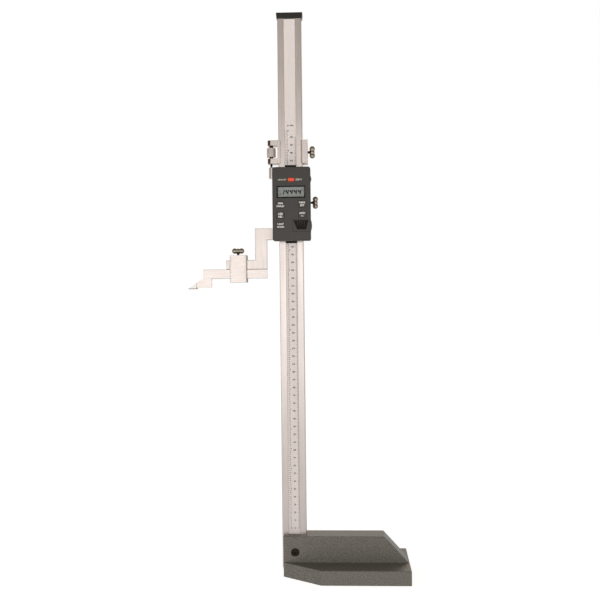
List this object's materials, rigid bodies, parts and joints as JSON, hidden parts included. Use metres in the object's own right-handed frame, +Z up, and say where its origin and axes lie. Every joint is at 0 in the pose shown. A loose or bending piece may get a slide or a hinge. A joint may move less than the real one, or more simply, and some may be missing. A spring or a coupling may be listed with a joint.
{
  "type": "digital height gauge",
  "caption": "Digital height gauge: cast base, steel column with metric and inch scale, sliding display head with fine feed, and a clamped carbide-tipped scriber.",
  "frame": {"origin": "on the ground underside of the base, under the middle of the column", "axes": "+Z up along the column, +X towards the long end of the foot, the graduated side faces -Y"},
  "size_m": [0.2796, 0.1, 0.7185],
  "materials": {
    "base_paint": "hammered grey-green enamel, ground underside",
    "column_steel": "satin chromed hardened steel, fine lengthways grain",
    "frame_steel": "ground steel, satin",
    "jaw_steel": "ground steel, satin",
    "scale_film": "satin film with black graduations",
    "circuit": "green board with copper pattern",
    "black_plastic": "moulded black plastic",
    "housing_plastic": "moulded charcoal plastic, fine texture",
    "black_steel": "black oxide steel",
    "screw_nickel": "nickel plated, bright",
    "brass": "machined brass",
    "red_plastic": "red moulded key",
    "black_rubber": "conductive rubber",
    "window_clear": "clear acrylic window",
    "lcd_glass": "grey-green liquid crystal panel",
    "cell_steel": "nickel plated",
    "carbide": "ground carbide"
  },
  "bodies": {
    "base": {"base_casting": "base_paint", "beam": "column_steel", "encoder_strip": "circuit", "scale_strip": "scale_film", "top_cap": "black_plastic", "beam_clamp_screw": "black_steel"},
    "fine_frame": {"fine_frame": "frame_steel", "fine_gib": "brass"},
    "fine_nut": {"fine_nut": "screw_nickel"},
    "fine_lock_pad": {"fine_lock_pad": "brass"},
    "fine_lock_screw": {"fine_lock_screw": "screw_nickel"},
    "slider": {"slider_frame": "frame_steel", "slider_gib": "brass", "gib_set_screws": "black_steel", "fine_rod": "black_steel", "rod_set_screw": "black_steel", "housing": "housing_plastic", "display_bezel": "black_plastic", "display_window": "window_clear", "lcd_panel": "lcd_glass", "lcd_connectors": "black_rubber", "circuit_board": "circuit", "reader_board": "circuit", "key_mat": "black_rubber", "battery_cell": "cell_steel", "battery_contacts": "cell_steel", "wiper_top": "black_plastic", "wiper_bottom": "black_plastic", "housing_screws": "black_steel"},
    "slider_lock_pad": {"slider_lock_pad": "brass"},
    "slider_lock_screw": {"slider_lock_screw": "screw_nickel"},
    "scriber_clamp": {"scriber_clamp": "jaw_steel"},
    "clamp_pad": {"clamp_pad": "jaw_steel"},
    "clamp_screw": {"clamp_screw": "screw_nickel"},
    "scriber": {"scriber": "jaw_steel", "scriber_tip": "carbide"},
    "battery_cover": {"battery_cover": "housing_plastic"},
    "port_cover": {"port_cover": "housing_plastic"},
    "zero_key": {"zero_key": "red_plastic"},
    "key_left_top": {"key_left_top": "housing_plastic"},
    "key_left_middle": {"key_left_middle": "housing_plastic"},
    "key_left_bottom": {"key_left_bottom": "housing_plastic"},
    "key_right_top": {"key_right_top": "housing_plastic"},
    "key_right_bottom": {"key_right_bottom": "housing_plastic"}
  },
  "joints": [
    {"name": "coarse_slide", "type": "slide", "parent": "base", "child": "fine_frame", "axis": [0, 0, 1], "range_m": [-0.3629, 0.138]},
    {"name": "nut_turn", "type": "hinge", "parent": "fine_frame", "child": "fine_nut", "pos_m": [-0.025, 0, 0.5412], "axis": [0, 0, 1], "range_deg": [-2160, 2880]},
    {"name": "fine_slide", "type": "slide", "parent": "fine_frame", "child": "slider", "axis": [0, 0, 1], "range_m": [-0.004, 0.003]},
    {"name": "fine_lock_back_off", "type": "slide", "parent": "fine_frame", "child": "fine_lock_pad", "axis": [1, 0, 0], "range_m": [0, 0.0007]},
    {"name": "fine_lock_turn", "type": "hinge", "parent": "fine_lock_pad", "child": "fine_lock_screw", "pos_m": [0.025, 0, 0.5407], "axis": [1, 0, 0], "range_deg": [0, 360]},
    {"name": "slider_lock_back_off", "type": "slide", "parent": "slider", "child": "slider_lock_pad", "axis": [1, 0, 0], "range_m": [0, 0.0007]},
    {"name": "slider_lock_turn", "type": "hinge", "parent": "slider_lock_pad", "child": "slider_lock_screw", "pos_m": [0.025, 0, 0.4761], "axis": [1, 0, 0], "range_deg": [0, 360]},
    {"name": "clamp_slide", "type": "slide", "parent": "slider", "child": "scriber_clamp", "axis": [1, 0, 0], "range_m": [-0.005, 0.01]},
    {"name": "clamp_pad_lift", "type": "slide", "parent": "scriber_clamp", "child": "clamp_pad", "axis": [0, 0, 1], "range_m": [0, 0.0007]},
    {"name": "clamp_turn", "type": "hinge", "parent": "clamp_pad", "child": "clamp_screw", "pos_m": [-0.0692, 0, 0.41], "axis": [0, 0, 1], "range_deg": [0, 360]},
    {"name": "scriber_slide", "type": "slide", "parent": "slider", "child": "scriber", "axis": [1, 0, 0], "range_m": [-0.02, 0.006]},
    {"name": "battery_cover_slide", "type": "slide", "parent": "slider", "child": "battery_cover", "axis": [1, 0, 0], "range_m": [0, 0.024]},
    {"name": "port_cover_pull", "type": "slide", "parent": "slider", "child": "port_cover", "axis": [1, 0, 0], "range_m": [0, 0.008]},
    {"name": "zero_key_press", "type": "slide", "parent": "slider", "child": "zero_key", "axis": [0, 1, 0], "range_m": [0, 0.0006], "stiffness_N_per_m": 1500},
    {"name": "key_left_top_press", "type": "slide", "parent": "slider", "child": "key_left_top", "axis": [0, 1, 0], "range_m": [0, 0.0006], "stiffness_N_per_m": 1500},
    {"name": "key_left_middle_press", "type": "slide", "parent": "slider", "child": "key_left_middle", "axis": [0, 1, 0], "range_m": [0, 0.0006], "stiffness_N_per_m": 1500},
    {"name": "key_left_bottom_press", "type": "slide", "parent": "slider", "child": "key_left_bottom", "axis": [0, 1, 0], "range_m": [0, 0.0006], "stiffness_N_per_m": 1500},
    {"name": "key_right_top_press", "type": "slide", "parent": "slider", "child": "key_right_top", "axis": [0, 1, 0], "range_m": [0, 0.0006], "stiffness_N_per_m": 1500},
    {"name": "key_right_bottom_press", "type": "slide", "parent": "slider", "child": "key_right_bottom", "axis": [0, 1, 0], "range_m": [0, 0.0006], "stiffness_N_per_m": 1500}
  ],
  "couplings": [
    {"joint": "nut_turn", "follows": "fine_slide", "rad_per_m": -12566},
    {"joint": "fine_lock_turn", "follows": "fine_lock_back_off", "rad_per_m": 8976},
    {"joint": "slider_lock_turn", "follows": "slider_lock_back_off", "rad_per_m": 8976},
    {"joint": "clamp_turn", "follows": "clamp_pad_lift", "rad_per_m": 8976}
  ]
}
